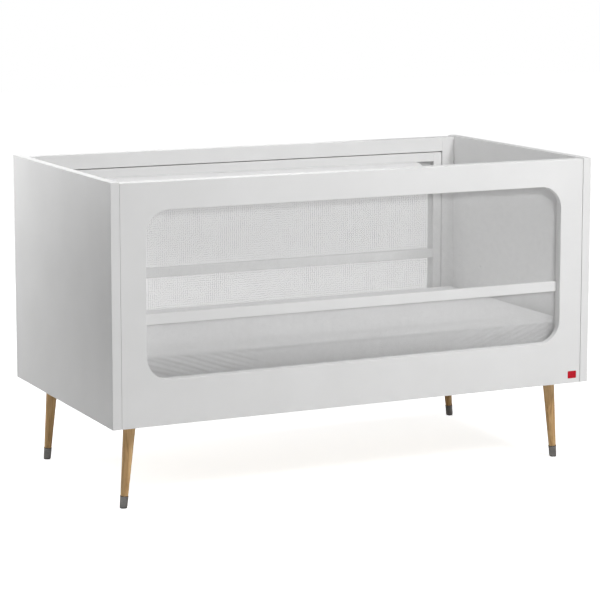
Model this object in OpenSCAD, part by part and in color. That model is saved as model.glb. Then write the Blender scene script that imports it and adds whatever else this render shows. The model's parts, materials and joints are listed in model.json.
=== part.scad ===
// Baby crib with mesh windows in both long sides, on four splayed wooden legs.
// X runs along the crib, Y across it with the front at -Y, Z up from the floor.
// The origin is the centre of the footprint, on the floor. Millimetres.

/* [Body] */
// Overall length
body_l = 1454; // [1340:2:1560]
// Overall depth
body_d = 776; // [716:2:840]
// Height of the end panels
body_h = 646.5; // [620:0.5:720]
// Height of the underside above the floor
underside_z = 231.5; // [200:0.5:280]
// How far the long sides stay below the end panels
side_drop = 3; // [0:0.5:8]

/* [Panels] */
// Thickness of the end panels
end_t = 25; // [18:1:28]
// Thickness of the outer board of a long side
board_t = 18; // [16:1:22]
// How far the outer board stands back from the edges of the end panels
board_set_back = 1; // [0:0.5:3]
// Thickness of the layer behind the outer board
border_t = 18; // [16:1:20]
// Gap between an outer board and each end panel
board_gap = 1; // [0.5:0.5:3]

/* [Window] */
// Length of the rounded window
window_l = 1260; // [1000:2:1264]
// Height of the rounded window
window_h = 448; // [400:1:450]
// Height of the window's lower edge above the underside
window_z = 121.5; // [120:0.5:140]
// Radius of the window's corners
window_r = 65; // [30:1:90]

/* [Insert frame] */
// Width of the insert's stiles and rails
insert_w = 28; // [24:1:30]
// Gap around the insert
insert_gap = 2.5; // [1:0.5:3]
// How far the insert stays behind the inner face
insert_recess = 1; // [0.9:0.1:2]
// Height of the mid rail
mid_rail_h = 28; // [20:1:40]
// Height of the mid rail's lower edge above the window's lower edge
mid_rail_z = 145.5; // [100:0.5:200]
// Thickness of the mesh
mesh_t = 0.8; // [0.6:0.1:0.8]
// How far the mesh lies behind the outer board
mesh_depth = 8; // [5:1:11]

/* [Tag] */
// Length of the tag
tag_l = 28; // [15:1:40]
// Height of the tag
tag_h = 21; // [12:1:30]
// Distance from the tag to the board's right end
tag_inset = 12; // [6:1:30]
// Height of the tag above the underside
tag_z = 14; // [8:1:60]
// Thickness of the tag
tag_t = 0.8; // [0.5:0.1:2]
// Radius of the tag's corners
tag_r = 2; // [0.5:0.5:5]

/* [Legs] */
// Distance of a foot from the middle, along the crib
foot_x = 668; // [640:1:680]
// Distance of a foot from the middle, across the crib
foot_y = 304; // [290:1:308]
// Lean of the legs
splay = 5.04; // [2:0.01:7]
// Diameter at the top of a leg
leg_top_d = 34; // [28:1:40]
// Diameter where a leg enters its ferrule
leg_tip_d = 21; // [18:0.5:24]
// Height of the ferrule's top edge
ferrule_h = 33; // [25:1:45]
// Diameter of the ferrule at its top
ferrule_top_d = 23.4; // [23:0.1:28]
// Thickness of the glide under a foot
glide_t = 2.5; // [2:0.5:5]

/* [Slatted base] */
// Thickness of the base frame
base_t = 22; // [20:1:26]
// Width of the end rails
base_end_w = 40; // [34:1:60]
// Width of the side rails
base_side_w = 30; // [26:1:50]
// Play of the base along the crib, at each end
base_play_x = 4; // [2:0.5:8]
// Play of the base across the crib, on each side
base_play_y = 3; // [1:0.5:6]
// Number of slats
slat_count = 14; // [10:1:16]
// Width of a slat
slat_w = 50; // [40:1:60]
// Thickness of a slat
slat_t = 8; // [6:1:10]
// Number of heights the base can be set at
level_count = 3; // [1:1:3]
// Distance between two heights
level_step = 120; // [80:5:130]

/* [Mattress] */
// Play of the mattress around its edge
mattress_play = 2; // [1:0.5:6]
// Thickness of the mattress
mattress_t = 134; // [80:1:140]
// Radius of the mattress's upright corners
mattress_r = 30; // [10:1:60]

/* [Hidden] */

$fn = 64;
lacquer = [0.92, 0.92, 0.91];
oak = [0.76, 0.58, 0.38];
birch = [0.86, 0.76, 0.58];
steel = [0.62, 0.63, 0.65];
nickel = [0.33, 0.33, 0.34];
black = [0.1, 0.1, 0.1];
eps = 1;       // overshoot of a cutting tool
fit = 0.1;     // how much wider a hole is than its pin, on the diameter
sides = [-1, 1];

// inside of the crib
inner_x = body_l / 2 - end_t;
outer_y = body_d / 2;
board_y = outer_y - board_set_back;
border_y = board_y - board_t;
inner_y = border_y - border_t;
top_z = underside_z + body_h;
side_top_z = top_z - side_drop;

// window and insert
window_low_z = underside_z + window_z;
window_high_z = window_low_z + window_h;
insert_open_x = window_l / 2;
insert_x = insert_open_x + insert_w;
insert_low_z = window_low_z - insert_w;
insert_high_z = window_high_z + insert_w;
insert_y = inner_y + insert_recess;
insert_t = border_y - insert_y;
border_x = insert_x + insert_gap;
border_low_z = insert_low_z - insert_gap;
border_high_z = insert_high_z + insert_gap;
mid_low_z = window_low_z + mid_rail_z;
mesh_groove = 7;     // depth of the groove round each pane of mesh
mesh_margin = 0.5;   // the mesh ends this far before the bottom of its groove

// screws that hold the insert to the board
insert_screw_l = 26;
insert_screw_d = 4;
insert_screw_head_d = 8;
insert_screw_head_h = 4;
insert_screw_sink = 1.5;  // the heads lie this far below the face, and are filled over
insert_screw_pitch = window_l / 4.5;
insert_screw_xs = [for (i = [-2:2]) i * insert_screw_pitch];
insert_screw_zs = [insert_low_z + insert_w / 2, insert_high_z - insert_w / 2];
insert_stile_screw_zs = [window_low_z + window_h / 4, window_high_z - window_h / 4];
insert_dowel_d = 6;
insert_dowel_l = 30;
insert_dowel_zs = [insert_low_z + insert_w / 2, mid_low_z + mid_rail_h / 2, insert_high_z - insert_w / 2];

// hardware between a long side and an end panel
dowel_d = 8;
dowel_in_panel = 12;
dowel_in_side = 20;
panel_dowel_y = inner_y + border_t / 2;
panel_dowel_heights = [35, 250, 410];  // above the underside
panel_dowel_drop = 30;                 // the last one, below the top edge
panel_dowel_zs = concat([for (h = panel_dowel_heights) underside_z + h], [side_top_z - panel_dowel_drop]);
cam_d = 15;
cam_depth = 12;
cam_inset_x = 34;
cam_x = inner_x - cam_inset_x;
cam_bolt_d = 6;
cam_bolt_depth = 8;  // of the bolt's axis, below the inner face
cam_bolt_y = inner_y + cam_bolt_depth;
cam_bolt_start = 4;  // the bolt begins this far past the cam's centre
cam_heights = [70, 150];
cam_zs = [for (h = cam_heights) underside_z + h];

// legs and their fixing
plate_t = 2.5;
plate_w = 64;
plate_r = 6;
plate_z = underside_z + plate_t;
leg_top_x = foot_x - underside_z * tan(splay);
leg_taper = (leg_top_d - leg_tip_d) / (underside_z - ferrule_h) * cos(splay);
ferrule_tip_d = 20.5;
ferrule_wall_fit = 0.1;
ferrule_lip = 1.2;   // height of the turned edge at each end of the ferrule
ferrule_step = 0.3;  // how much narrower the ferrule is beside its lips
ferrule_round = 0.4; // how much its top edge is rounded off
leg_over = 10;       // how far the leg's cone is drawn past the floor and the underside
glide_d = 19;
leg_end_z = glide_t + 1;
bolt_d = 8;
bolt_in_leg = 34;
bolt_over_plate = 11;
bolt_low_z = underside_z - bolt_in_leg;
bolt_high_z = plate_z + bolt_over_plate;
nut_d = 15;
nut_h = 9;
nut_room_d = 26;
nut_room_h = 14;
plate_screw_offset = 24;
plate_screw_d = 4.5;
plate_screw_head_d = 9;
plate_screw_l = 16;
block_w = 100;
block_t = 18;
block_dowel_z = plate_z + block_t / 2;
block_dowel_l = 18;
block_dowel_edges = [18, 76];   // along the end panel, from the long side
block_dowel_offsets = [27, 82];  // along the long side, from the end panel

// slatted base
base_x = inner_x - base_play_x;
base_y = inner_y - base_play_y;
base_clear = 1;      // the base at its lowest stays this far above the leg blocks
base_low_z = plate_z + block_t + base_clear;
base_high_z = base_low_z + base_t;
rail_x = base_x - base_end_w;
slat_gap = (2 * rail_x - slat_count * slat_w) / (slat_count + 1);
slat_seat = 20;      // how far a slat reaches into each side rail
slat_half_l = base_y - base_side_w + slat_seat;
slat_play = 0.5;     // play of a slat in its notch, along the crib
centre_rail_w = 40;
slat_screw_d = 3.5;
slat_screw_head_d = 7;
slat_screw_head_h = 2.5;
slat_screw_l = 14;
slat_screw_y = slat_half_l - slat_seat / 2;
base_dowel_h = 7;    // of the dowels' axes, above the underside of the base
base_dowel_z = base_low_z + base_dowel_h;
base_dowel_half_l = 20;
base_dowel_ys = [-(base_y - base_side_w / 2), 0, base_y - base_side_w / 2];

// pins that carry the base, one pair of holes for each height
pin_d = 8;
pin_y = 180;
pin_out = 22;
pin_clear = 0.3;
pin_z = base_low_z - pin_clear - pin_d / 2;

// a cuboid between two corners
module block(low, high) {
    translate(low)
        cube(high - low);
}

// a rectangle centred on the origin, with round corners
module round_rect(l, h, r) {
    square([l - 2 * r, h], center = true);
    square([l, h - 2 * r], center = true);
    for (x = sides, y = sides)
        translate([x * (l / 2 - r), y * (h / 2 - r)])
            circle(r);
}

// what is drawn for the front side, placed on side s: -1 front, 1 back
module on_side(s) {
    mirror([0, s > 0 ? 1 : 0, 0])
        children();
}

// a rod along X from x0 to x1
module rod_x(x0, x1, y, z, d) {
    translate([x0, y, z])
        rotate([0, 90, 0])
            cylinder(h = x1 - x0, d = d);
}

// ---- long sides, drawn for the front -------------------------------------

// a countersunk screw that enters at the origin and points along -Y
module countersunk_y(l, d, head_d, head_h, play = 0) {
    rotate([90, 0, 0]) {
        cylinder(h = l, d = d + play);
        cylinder(h = head_h, d1 = head_d + play, d2 = d + play);
    }
}

// the hole that leads down to a sunk head
module sink_y(depth, d) {
    rotate([90, 0, 0])
        translate([0, 0, -eps])
            cylinder(h = depth + eps, d = d);
}

module insert_screw_places() {
    for (x = insert_screw_xs, z = insert_screw_zs)
        translate([x, -insert_y, z])
            children();
    for (x = sides, z = insert_stile_screw_zs)
        translate([x * (insert_x - insert_w / 2), -insert_y, z])
            children();
}

module insert_screw_set(play = 0) {
    insert_screw_places() {
        translate([0, -insert_screw_sink, 0])
            countersunk_y(insert_screw_l, insert_screw_d, insert_screw_head_d, insert_screw_head_h, play);
        if (play > 0)
            sink_y(insert_screw_sink, insert_screw_head_d + play);
    }
}

module insert_dowel_set(play = 0) {
    for (x = sides, z = insert_dowel_zs)
        rod_x(x * insert_open_x - insert_dowel_l / 2, x * insert_open_x + insert_dowel_l / 2,
            -(insert_y + insert_t / 2), z, insert_dowel_d + play);
}

module panel_dowel_set(play = 0) {
    for (s = sides, z = panel_dowel_zs)
        rod_x(s > 0 ? inner_x - dowel_in_side : -inner_x - dowel_in_panel,
            s > 0 ? inner_x + dowel_in_panel : -inner_x + dowel_in_side,
            -panel_dowel_y, z, dowel_d + play);
}

module cam_bolt_set(play = 0) {
    for (s = sides, z = cam_zs)
        rod_x(s > 0 ? cam_x + cam_bolt_start : -inner_x - dowel_in_panel,
            s > 0 ? inner_x + dowel_in_panel : -cam_x - cam_bolt_start,
            -cam_bolt_y, z, cam_bolt_d + play);
}

module cam_lock_set(play = 0) {
    for (s = sides, z = cam_zs)
        translate([s * cam_x, -inner_y, z])
            rotate([90, 0, 0])
                cylinder(h = cam_depth + play, d = cam_d + play);
}

module side_board() {
    board_x = inner_x - board_gap;
    difference() {
        block([-board_x, -board_y, underside_z], [board_x, -border_y, side_top_z]);
        translate([0, -border_y + eps, window_low_z + window_h / 2])
            rotate([90, 0, 0])
                linear_extrude(board_t + 2 * eps)
                    round_rect(window_l, window_h, window_r);
        insert_screw_set(fit);
    }
}

module border_rail(low_z, high_z) {
    difference() {
        block([-border_x, -border_y, low_z], [border_x, -inner_y, high_z]);
        block_dowel_y_set(fit);
    }
}

module border_stile(s) {
    low_x = s > 0 ? border_x : -inner_x;
    high_x = s > 0 ? inner_x : -border_x;
    difference() {
        block([low_x, -border_y, underside_z], [high_x, -inner_y, side_top_z]);
        panel_dowel_set(fit);
        cam_bolt_set(fit);
        cam_lock_set(fit);
        block_dowel_y_set(fit);
    }
}

module insert_rail(low_z, high_z) {
    difference() {
        block([-insert_open_x, -border_y, low_z], [insert_open_x, -insert_y, high_z]);
        insert_screw_set(fit);
        insert_dowel_set(fit);
        mesh_panes(mesh_groove, fit);
    }
}

module insert_stile(s) {
    low_x = s > 0 ? insert_open_x : -insert_x;
    high_x = s > 0 ? insert_x : -insert_open_x;
    difference() {
        block([low_x, -border_y, insert_low_z], [high_x, -insert_y, insert_high_z]);
        insert_screw_set(fit);
        insert_dowel_set(fit);
        mesh_panes(mesh_groove, fit);
    }
}

// the panes of mesh above and below the mid rail; reach = how far they go into the frame
module mesh_panes(reach, play = 0) {
    outer = border_y - mesh_depth;
    for (zs = [[window_low_z, mid_low_z], [mid_low_z + mid_rail_h, window_high_z]])
        block([-insert_open_x - reach, -outer, zs[0] - reach],
            [insert_open_x + reach, -outer + mesh_t + play, zs[1] + reach]);
}

module side_mesh() {
    mesh_panes(mesh_groove - mesh_margin);
}

module front_board() {
    color(lacquer)
        difference() {
            side_board();
            tag_body(eps);
        }
}

module back_board() {
    color(lacquer)
        on_side(1)
            side_board();
}

module front_border_top_rail() {
    color(lacquer)
        border_rail(border_high_z, side_top_z);
}

module front_border_bottom_rail() {
    color(lacquer)
        border_rail(underside_z, border_low_z);
}

module front_border_left_stile() {
    color(lacquer)
        border_stile(-1);
}

module front_border_right_stile() {
    color(lacquer)
        border_stile(1);
}

module back_border_top_rail() {
    color(lacquer)
        on_side(1)
            border_rail(border_high_z, side_top_z);
}

module back_border_bottom_rail() {
    color(lacquer)
        on_side(1)
            border_rail(underside_z, border_low_z);
}

module back_border_left_stile() {
    color(lacquer)
        on_side(1)
            border_stile(-1);
}

module back_border_right_stile() {
    color(lacquer)
        on_side(1)
            border_stile(1);
}

module front_insert_top_rail() {
    color(lacquer)
        insert_rail(window_high_z, insert_high_z);
}

module front_insert_bottom_rail() {
    color(lacquer)
        insert_rail(insert_low_z, window_low_z);
}

module front_insert_mid_rail() {
    color(lacquer)
        insert_rail(mid_low_z, mid_low_z + mid_rail_h);
}

module front_insert_left_stile() {
    color(lacquer)
        insert_stile(-1);
}

module front_insert_right_stile() {
    color(lacquer)
        insert_stile(1);
}

module back_insert_top_rail() {
    color(lacquer)
        on_side(1)
            insert_rail(window_high_z, insert_high_z);
}

module back_insert_bottom_rail() {
    color(lacquer)
        on_side(1)
            insert_rail(insert_low_z, window_low_z);
}

module back_insert_mid_rail() {
    color(lacquer)
        on_side(1)
            insert_rail(mid_low_z, mid_low_z + mid_rail_h);
}

module back_insert_left_stile() {
    color(lacquer)
        on_side(1)
            insert_stile(-1);
}

module back_insert_right_stile() {
    color(lacquer)
        on_side(1)
            insert_stile(1);
}

module front_mesh() {
    color("white", 0.4)
        side_mesh();
}

module back_mesh() {
    color("white", 0.4)
        on_side(1)
            side_mesh();
}

// the tag, let into the face of the front board; over = how far it stands proud
module tag_body(over = 0) {
    translate([inner_x - board_gap - tag_inset - tag_l / 2, -board_y + tag_t, underside_z + tag_z + tag_h / 2])
        rotate([90, 0, 0])
            linear_extrude(tag_t + over)
                round_rect(tag_l, tag_h, tag_r);
}

module side_tag() {
    color("firebrick")
        tag_body();
}

module front_insert_screws() {
    color(steel)
        insert_screw_set();
}

module back_insert_screws() {
    color(steel)
        on_side(1)
            insert_screw_set();
}

module insert_dowels() {
    color(birch)
        for (s = sides)
            on_side(s)
                insert_dowel_set();
}

module panel_dowels() {
    color(birch)
        for (s = sides)
            on_side(s)
                panel_dowel_set();
}

module panel_cam_bolts() {
    color(steel)
        for (s = sides)
            on_side(s)
                cam_bolt_set();
}

module panel_cam_locks() {
    color(steel)
        for (s = sides)
            on_side(s)
                difference() {
                    cam_lock_set();
                    cam_bolt_set(fit);
                }
}

// ---- end panels ----------------------------------------------------------

module end_panel(s) {
    low_x = s > 0 ? inner_x : -body_l / 2;
    high_x = s > 0 ? body_l / 2 : -inner_x;
    difference() {
        block([low_x, -outer_y, underside_z], [high_x, outer_y, top_z]);
        for (t = sides)
            on_side(t) {
                panel_dowel_set(fit);
                cam_bolt_set(fit);
                block_dowel_x_set(fit);
                for (i = [0:level_count - 1])
                    translate([0, 0, i * level_step])
                        pin_set(fit);
            }
    }
}

module end_panel_left() {
    color(lacquer)
        end_panel(-1);
}

module end_panel_right() {
    color(lacquer)
        end_panel(1);
}

// the pins at the front, one at each end
module pin_set(play = 0) {
    for (s = sides)
        rod_x(s > 0 ? inner_x - pin_out : -inner_x - dowel_in_panel,
            s > 0 ? inner_x + dowel_in_panel : -inner_x + pin_out,
            -pin_y, pin_z, pin_d + play);
}

module base_support_pins() {
    color(steel)
        for (t = sides)
            on_side(t)
                pin_set();
}

// ---- legs ----------------------------------------------------------------

// the leaning axis of the leg at sx, sy, its origin on the floor
module leg_axis(sx, sy) {
    translate([sx * foot_x, sy * foot_y, 0])
        rotate([0, -sx * splay, 0])
            children();
}

// keeps what lies between two heights
module between(low_z, high_z) {
    intersection() {
        children();
        block([-body_l, -body_d, low_z], [body_l, body_d, high_z]);
    }
}

// a cone of the leg's own taper around its axis
module leg_cone(play = 0) {
    low_h = -leg_over;
    high_h = underside_z + leg_over;
    ferrule_s = ferrule_h / cos(splay);
    translate([0, 0, low_h])
        cylinder(h = high_h - low_h,
            d1 = leg_tip_d + (low_h - ferrule_s) * leg_taper + play,
            d2 = leg_tip_d + (high_h - ferrule_s) * leg_taper + play);
}

module leg_bolt(sx, sy, play = 0) {
    between(bolt_low_z, bolt_high_z + play)
        leg_axis(sx, sy)
            cylinder(h = 2 * underside_z, d = bolt_d + play);
}

module leg(sx, sy) {
    difference() {
        between(leg_end_z, underside_z)
            leg_axis(sx, sy)
                leg_cone();
        leg_bolt(sx, sy, fit);
    }
}

// the ferrule is a turned tube with a small lip at each end
module ferrule(sx, sy) {
    r_top = ferrule_top_d / 2;
    r_tip = ferrule_tip_d / 2;
    top = ferrule_h / cos(splay);
    difference() {
        between(glide_t, body_h)
            leg_axis(sx, sy)
                rotate_extrude()
                    polygon([
                        [0, -glide_t],
                        [r_tip, -glide_t],
                        [r_tip, glide_t + ferrule_lip],
                        [r_tip + ferrule_step, glide_t + 2 * ferrule_lip],
                        [r_top - ferrule_step, top - 2 * ferrule_lip],
                        [r_top, top - ferrule_lip],
                        [r_top - ferrule_round, top],
                        [0, top]
                    ]);
        leg_axis(sx, sy)
            leg_cone(ferrule_wall_fit);
    }
}

module leg_block(sx, sy) {
    low_x = sx > 0 ? inner_x - block_w : -inner_x;
    low_y = sy > 0 ? inner_y - block_w : -inner_y;
    difference() {
        block([low_x, low_y, plate_z], [low_x + block_w, low_y + block_w, plate_z + block_t]);
        translate([sx * leg_top_x, sy * foot_y, plate_z - eps])
            cylinder(h = nut_room_h + eps, d = nut_room_d);
        plate_screws_at(sx, sy, fit);
        for (t = sides)
            on_side(t) {
                block_dowel_x_set(fit);
                block_dowel_y_set(fit);
            }
    }
}

module plate_screw_places(sx, sy) {
    for (x = sides, y = sides)
        translate([sx * leg_top_x + x * plate_screw_offset, sy * foot_y + y * plate_screw_offset, underside_z])
            children();
}

module plate_screws_at(sx, sy, play = 0) {
    plate_screw_places(sx, sy) {
        cylinder(h = plate_screw_l, d = plate_screw_d + play);
        cylinder(h = plate_t, d1 = plate_screw_head_d + play, d2 = plate_screw_d + play);
    }
}

// a flat plate with a leaning threaded nut welded on top
module leg_plate(sx, sy) {
    centre = [sx * leg_top_x, sy * foot_y];
    difference() {
        union() {
            translate([centre[0], centre[1], underside_z])
                linear_extrude(plate_t)
                    round_rect(plate_w, plate_w, plate_r);
            between(underside_z + plate_t / 2, plate_z + nut_h)
                leg_axis(sx, sy)
                    cylinder(h = 2 * underside_z, d = nut_d);
        }
        leg_axis(sx, sy)
            cylinder(h = 2 * underside_z, d = bolt_d + fit);
        plate_screws_at(sx, sy, fit);
    }
}

// dowels from the front blocks into the end panels
module block_dowel_x_set(play = 0) {
    for (s = sides, edge = block_dowel_edges)
        rod_x(s > 0 ? inner_x - block_dowel_l : -inner_x - dowel_in_panel,
            s > 0 ? inner_x + dowel_in_panel : -inner_x + block_dowel_l,
            -inner_y + edge, block_dowel_z, dowel_d + play);
}

// dowels from the front blocks into the bottom rail and stile of the long side
module block_dowel_y_set(play = 0) {
    for (s = sides, offset_x = block_dowel_offsets)
        translate([s * (inner_x - offset_x), -inner_y + block_dowel_l, block_dowel_z])
            rotate([90, 0, 0])
                cylinder(h = block_dowel_l + dowel_in_panel, d = dowel_d + play);
}

module leg_front_left() {
    color(oak)
        leg(-1, -1);
}

module leg_front_right() {
    color(oak)
        leg(1, -1);
}

module leg_back_left() {
    color(oak)
        leg(-1, 1);
}

module leg_back_right() {
    color(oak)
        leg(1, 1);
}

module ferrule_front_left() {
    color(nickel)
        ferrule(-1, -1);
}

module ferrule_front_right() {
    color(nickel)
        ferrule(1, -1);
}

module ferrule_back_left() {
    color(nickel)
        ferrule(-1, 1);
}

module ferrule_back_right() {
    color(nickel)
        ferrule(1, 1);
}

module foot_glides() {
    color(black)
        for (sx = sides, sy = sides)
            between(0, glide_t)
                leg_axis(sx, sy)
                    translate([0, 0, -glide_t])
                        cylinder(h = 3 * glide_t, d = glide_d);
}

module leg_plates() {
    color(steel)
        for (sx = sides, sy = sides)
            leg_plate(sx, sy);
}

module leg_bolts() {
    color(steel)
        for (sx = sides, sy = sides)
            leg_bolt(sx, sy);
}

module leg_plate_screws() {
    color(steel)
        for (sx = sides, sy = sides)
            plate_screws_at(sx, sy);
}

module leg_block_front_left() {
    color(birch)
        leg_block(-1, -1);
}

module leg_block_front_right() {
    color(birch)
        leg_block(1, -1);
}

module leg_block_back_left() {
    color(birch)
        leg_block(-1, 1);
}

module leg_block_back_right() {
    color(birch)
        leg_block(1, 1);
}

module block_dowels() {
    color(birch)
        for (t = sides)
            on_side(t) {
                block_dowel_x_set();
                block_dowel_y_set();
            }
}

// ---- slatted base --------------------------------------------------------

function slat_x(i) = -rail_x + slat_gap + slat_w / 2 + i * (slat_w + slat_gap);

module slat_screw_set(play = 0) {
    for (i = [0:slat_count - 1], s = sides)
        translate([slat_x(i), s * slat_screw_y, base_high_z - slat_screw_l]) {
            cylinder(h = slat_screw_l, d = slat_screw_d + play);
            translate([0, 0, slat_screw_l - slat_screw_head_h])
                cylinder(h = slat_screw_head_h, d1 = slat_screw_d + play, d2 = slat_screw_head_d + play);
        }
}

module base_dowel_set(play = 0) {
    for (s = sides, y = base_dowel_ys)
        rod_x(s * rail_x - base_dowel_half_l, s * rail_x + base_dowel_half_l, y, base_dowel_z, dowel_d + play);
}

module base_side_rail(s) {
    low_y = s > 0 ? base_y - base_side_w : -base_y;
    difference() {
        block([-rail_x, low_y, base_low_z], [rail_x, low_y + base_side_w, base_high_z]);
        for (i = [0:slat_count - 1])
            block([slat_x(i) - slat_w / 2 - slat_play, -slat_half_l, base_high_z - slat_t],
                [slat_x(i) + slat_w / 2 + slat_play, slat_half_l, base_high_z + eps]);
        slat_screw_set(fit);
        base_dowel_set(fit);
    }
}

module base_end_rail(s) {
    low_x = s > 0 ? rail_x : -base_x;
    difference() {
        block([low_x, -base_y, base_low_z], [low_x + base_end_w, base_y, base_high_z]);
        base_dowel_set(fit);
    }
}

module base_side_rail_front() {
    color(birch)
        base_side_rail(-1);
}

module base_side_rail_back() {
    color(birch)
        base_side_rail(1);
}

module base_end_rail_left() {
    color(birch)
        base_end_rail(-1);
}

module base_end_rail_right() {
    color(birch)
        base_end_rail(1);
}

module base_centre_rail() {
    color(birch)
        difference() {
            block([-rail_x, -centre_rail_w / 2, base_low_z], [rail_x, centre_rail_w / 2, base_high_z - slat_t]);
            base_dowel_set(fit);
        }
}

module base_slats() {
    color(birch)
        difference() {
            for (i = [0:slat_count - 1])
                block([slat_x(i) - slat_w / 2, -slat_half_l, base_high_z - slat_t],
                    [slat_x(i) + slat_w / 2, slat_half_l, base_high_z]);
            slat_screw_set(fit);
        }
}

module base_slat_screws() {
    color(steel)
        slat_screw_set();
}

module base_dowels() {
    color(birch)
        base_dowel_set();
}

module mattress() {
    color("white")
        translate([0, 0, base_high_z])
            linear_extrude(mattress_t)
                round_rect(2 * (inner_x - mattress_play), 2 * (inner_y - mattress_play), mattress_r);
}

end_panel_left();
end_panel_right();
front_board();
back_board();
front_border_top_rail();
front_border_bottom_rail();
front_border_left_stile();
front_border_right_stile();
back_border_top_rail();
back_border_bottom_rail();
back_border_left_stile();
back_border_right_stile();
front_insert_top_rail();
front_insert_bottom_rail();
front_insert_mid_rail();
front_insert_left_stile();
front_insert_right_stile();
back_insert_top_rail();
back_insert_bottom_rail();
back_insert_mid_rail();
back_insert_left_stile();
back_insert_right_stile();
front_mesh();
back_mesh();
side_tag();
front_insert_screws();
back_insert_screws();
insert_dowels();
panel_dowels();
panel_cam_bolts();
panel_cam_locks();
leg_front_left();
leg_front_right();
leg_back_left();
leg_back_right();
ferrule_front_left();
ferrule_front_right();
ferrule_back_left();
ferrule_back_right();
foot_glides();
leg_plates();
leg_bolts();
leg_plate_screws();
leg_block_front_left();
leg_block_front_right();
leg_block_back_left();
leg_block_back_right();
block_dowels();
base_support_pins();
base_side_rail_front();
base_side_rail_back();
base_end_rail_left();
base_end_rail_right();
base_centre_rail();
base_slats();
base_slat_screws();
base_dowels();
mattress();
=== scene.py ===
"""Baby crib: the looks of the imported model, built round its frame in Blender 4.5. All sizes are metres."""

import json
import math

import bmesh
import bpy
from mathutils import Matrix, Vector, noise

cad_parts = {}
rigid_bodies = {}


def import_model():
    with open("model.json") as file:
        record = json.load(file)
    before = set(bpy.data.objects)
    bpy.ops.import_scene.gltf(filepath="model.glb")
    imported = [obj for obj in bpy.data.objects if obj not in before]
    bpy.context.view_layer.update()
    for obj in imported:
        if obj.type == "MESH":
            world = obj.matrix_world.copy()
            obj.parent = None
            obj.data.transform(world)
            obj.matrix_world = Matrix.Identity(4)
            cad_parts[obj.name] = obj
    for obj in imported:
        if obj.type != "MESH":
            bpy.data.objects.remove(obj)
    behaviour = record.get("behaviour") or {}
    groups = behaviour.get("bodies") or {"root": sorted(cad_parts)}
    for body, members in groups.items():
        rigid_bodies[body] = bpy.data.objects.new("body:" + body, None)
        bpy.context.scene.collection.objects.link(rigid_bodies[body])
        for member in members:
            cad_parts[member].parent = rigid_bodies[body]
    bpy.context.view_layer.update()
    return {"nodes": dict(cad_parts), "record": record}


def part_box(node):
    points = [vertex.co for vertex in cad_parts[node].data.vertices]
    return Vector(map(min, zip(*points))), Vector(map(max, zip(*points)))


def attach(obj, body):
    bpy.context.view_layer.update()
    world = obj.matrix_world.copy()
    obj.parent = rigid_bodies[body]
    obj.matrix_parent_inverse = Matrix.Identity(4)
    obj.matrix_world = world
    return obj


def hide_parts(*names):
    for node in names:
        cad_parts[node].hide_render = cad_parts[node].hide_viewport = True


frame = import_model()
records = {joint["name"]: joint for joint in frame["record"]["behaviour"]["joints"]}

SIDES = (("front", -1), ("back", 1))
ENDS = (("left", -1), ("right", 1))

# Panels
PANEL_EDGE = 0.0012        # radius of a lacquered panel's edges
RAIL_EDGE = 0.0010         # radius of the edges of the thinner rails and stiles
WINDOW_RADIUS = 0.065
WINDOW_ARC_STEPS = 28      # steps in each quarter circle of the window
EDGE_STEPS = 3             # steps round a rounded edge
HOLE_PLAY = 0.0003         # how much wider a hole is than its fitting, on the radius
PIN_PLAY = 0.0001          # the same for the holes of the base's pins
PIN_HOLE_DEPTH = 0.014
HOLE_STEPS = 40            # sides of a round hole
CUT_PAST = 0.002           # how far a cutter stands out of the face that it cuts
FLUSH = 0.0012             # a fitting that ends this near a face comes out at it

# Mesh panels
NET_PITCH = 0.0008         # from thread to thread, measured across them
THREAD_WIDTH = 0.000195
THREAD_THICKNESS = 0.00014
NET_BACK = 0.00006         # how far the threads lie behind the outer face of the pane
NET_OVERLAP = 0.9          # the second layer starts at this share of the first one's thickness
NET_HEM = 0.003            # width of the woven edge
HEM_EDGE = 0.0002          # radius of its edges
GROOVE_PLAY = 0.0002       # room round a pane of mesh in the groove of its frame

# Tag
TAG_RADIUS = 0.002
TAG_PLAY = 0.00025
TAG_RIM = 0.0011
TAG_SUNK = 0.00025         # how deep the face lies inside the rim
TAG_EDGE = 0.00015         # bevel of the rim

# Mattress
FOLD = 0.0085              # how far a fold of the sheet stands out
FOLD_SPACING = 0.038       # from fold to fold, measured level along the side
FOLD_LEAN = 2.9            # how far a fold runs along the side for each metre down it
CORE_INSET = 0.0115        # how far inside its room the filled padding stays
CORE_VOXEL = 0.008
CORE_SWELL = 0.004         # the furthest that the padding may swell
CORE_EDGE = 0.024          # radius of its edges before it swells
CORE_UNDER_TOP = 0.0085    # how far below the room's top the swollen padding stays
CORE_LIFT = 0.003          # how far above the base the padding starts
CORE_LOWEST = 0.0022       # the lowest that its points may come
SHEET_UNDER = 0.10         # how far the sheet reaches under the mattress
SHEET_STEP = 0.0065        # spacing of the sheet's points round the mattress
SHEET_TOP_STEP = 0.010     # spacing of its loops over the top
SHEET_SIDE_STEP = 0.0032   # and down the side
SHEET_UNDER_STEPS = 12     # loops under the mattress
SHEET_EDGE = 0.028         # radius of its top edge
SHEET_LOW_EDGE = 0.014     # radius of its bottom edge
SHEET_CORNER = 0.036       # radius of its corners, seen from above
SHEET_CORNER_STEPS = 12
SHEET_INSIDE = Vector((0.0006, 0.0006, 0.0))   # how far the sheet stays inside the CAD box
SHEET_OFF_BASE = Vector((0, 0, 0.0004))

# Floor
FLOOR_HALF = 14.0
FLOOR_DROP = 0.0002        # below the feet, so that the two faces don't coincide

# Camera: its place, which way it looks in degrees, and its lens
CAMERA_PLACE = Vector((-2.7306, -5.6582, 1.5271))
CAMERA_TO_RIGHT = 25.745
CAMERA_DOWN = 7.754
CAMERA_LENS = 132.97
CAMERA_SHIFT = -0.12       # the photograph's uprights are nearly parallel


# ---- materials -----------------------------------------------------------

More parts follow.
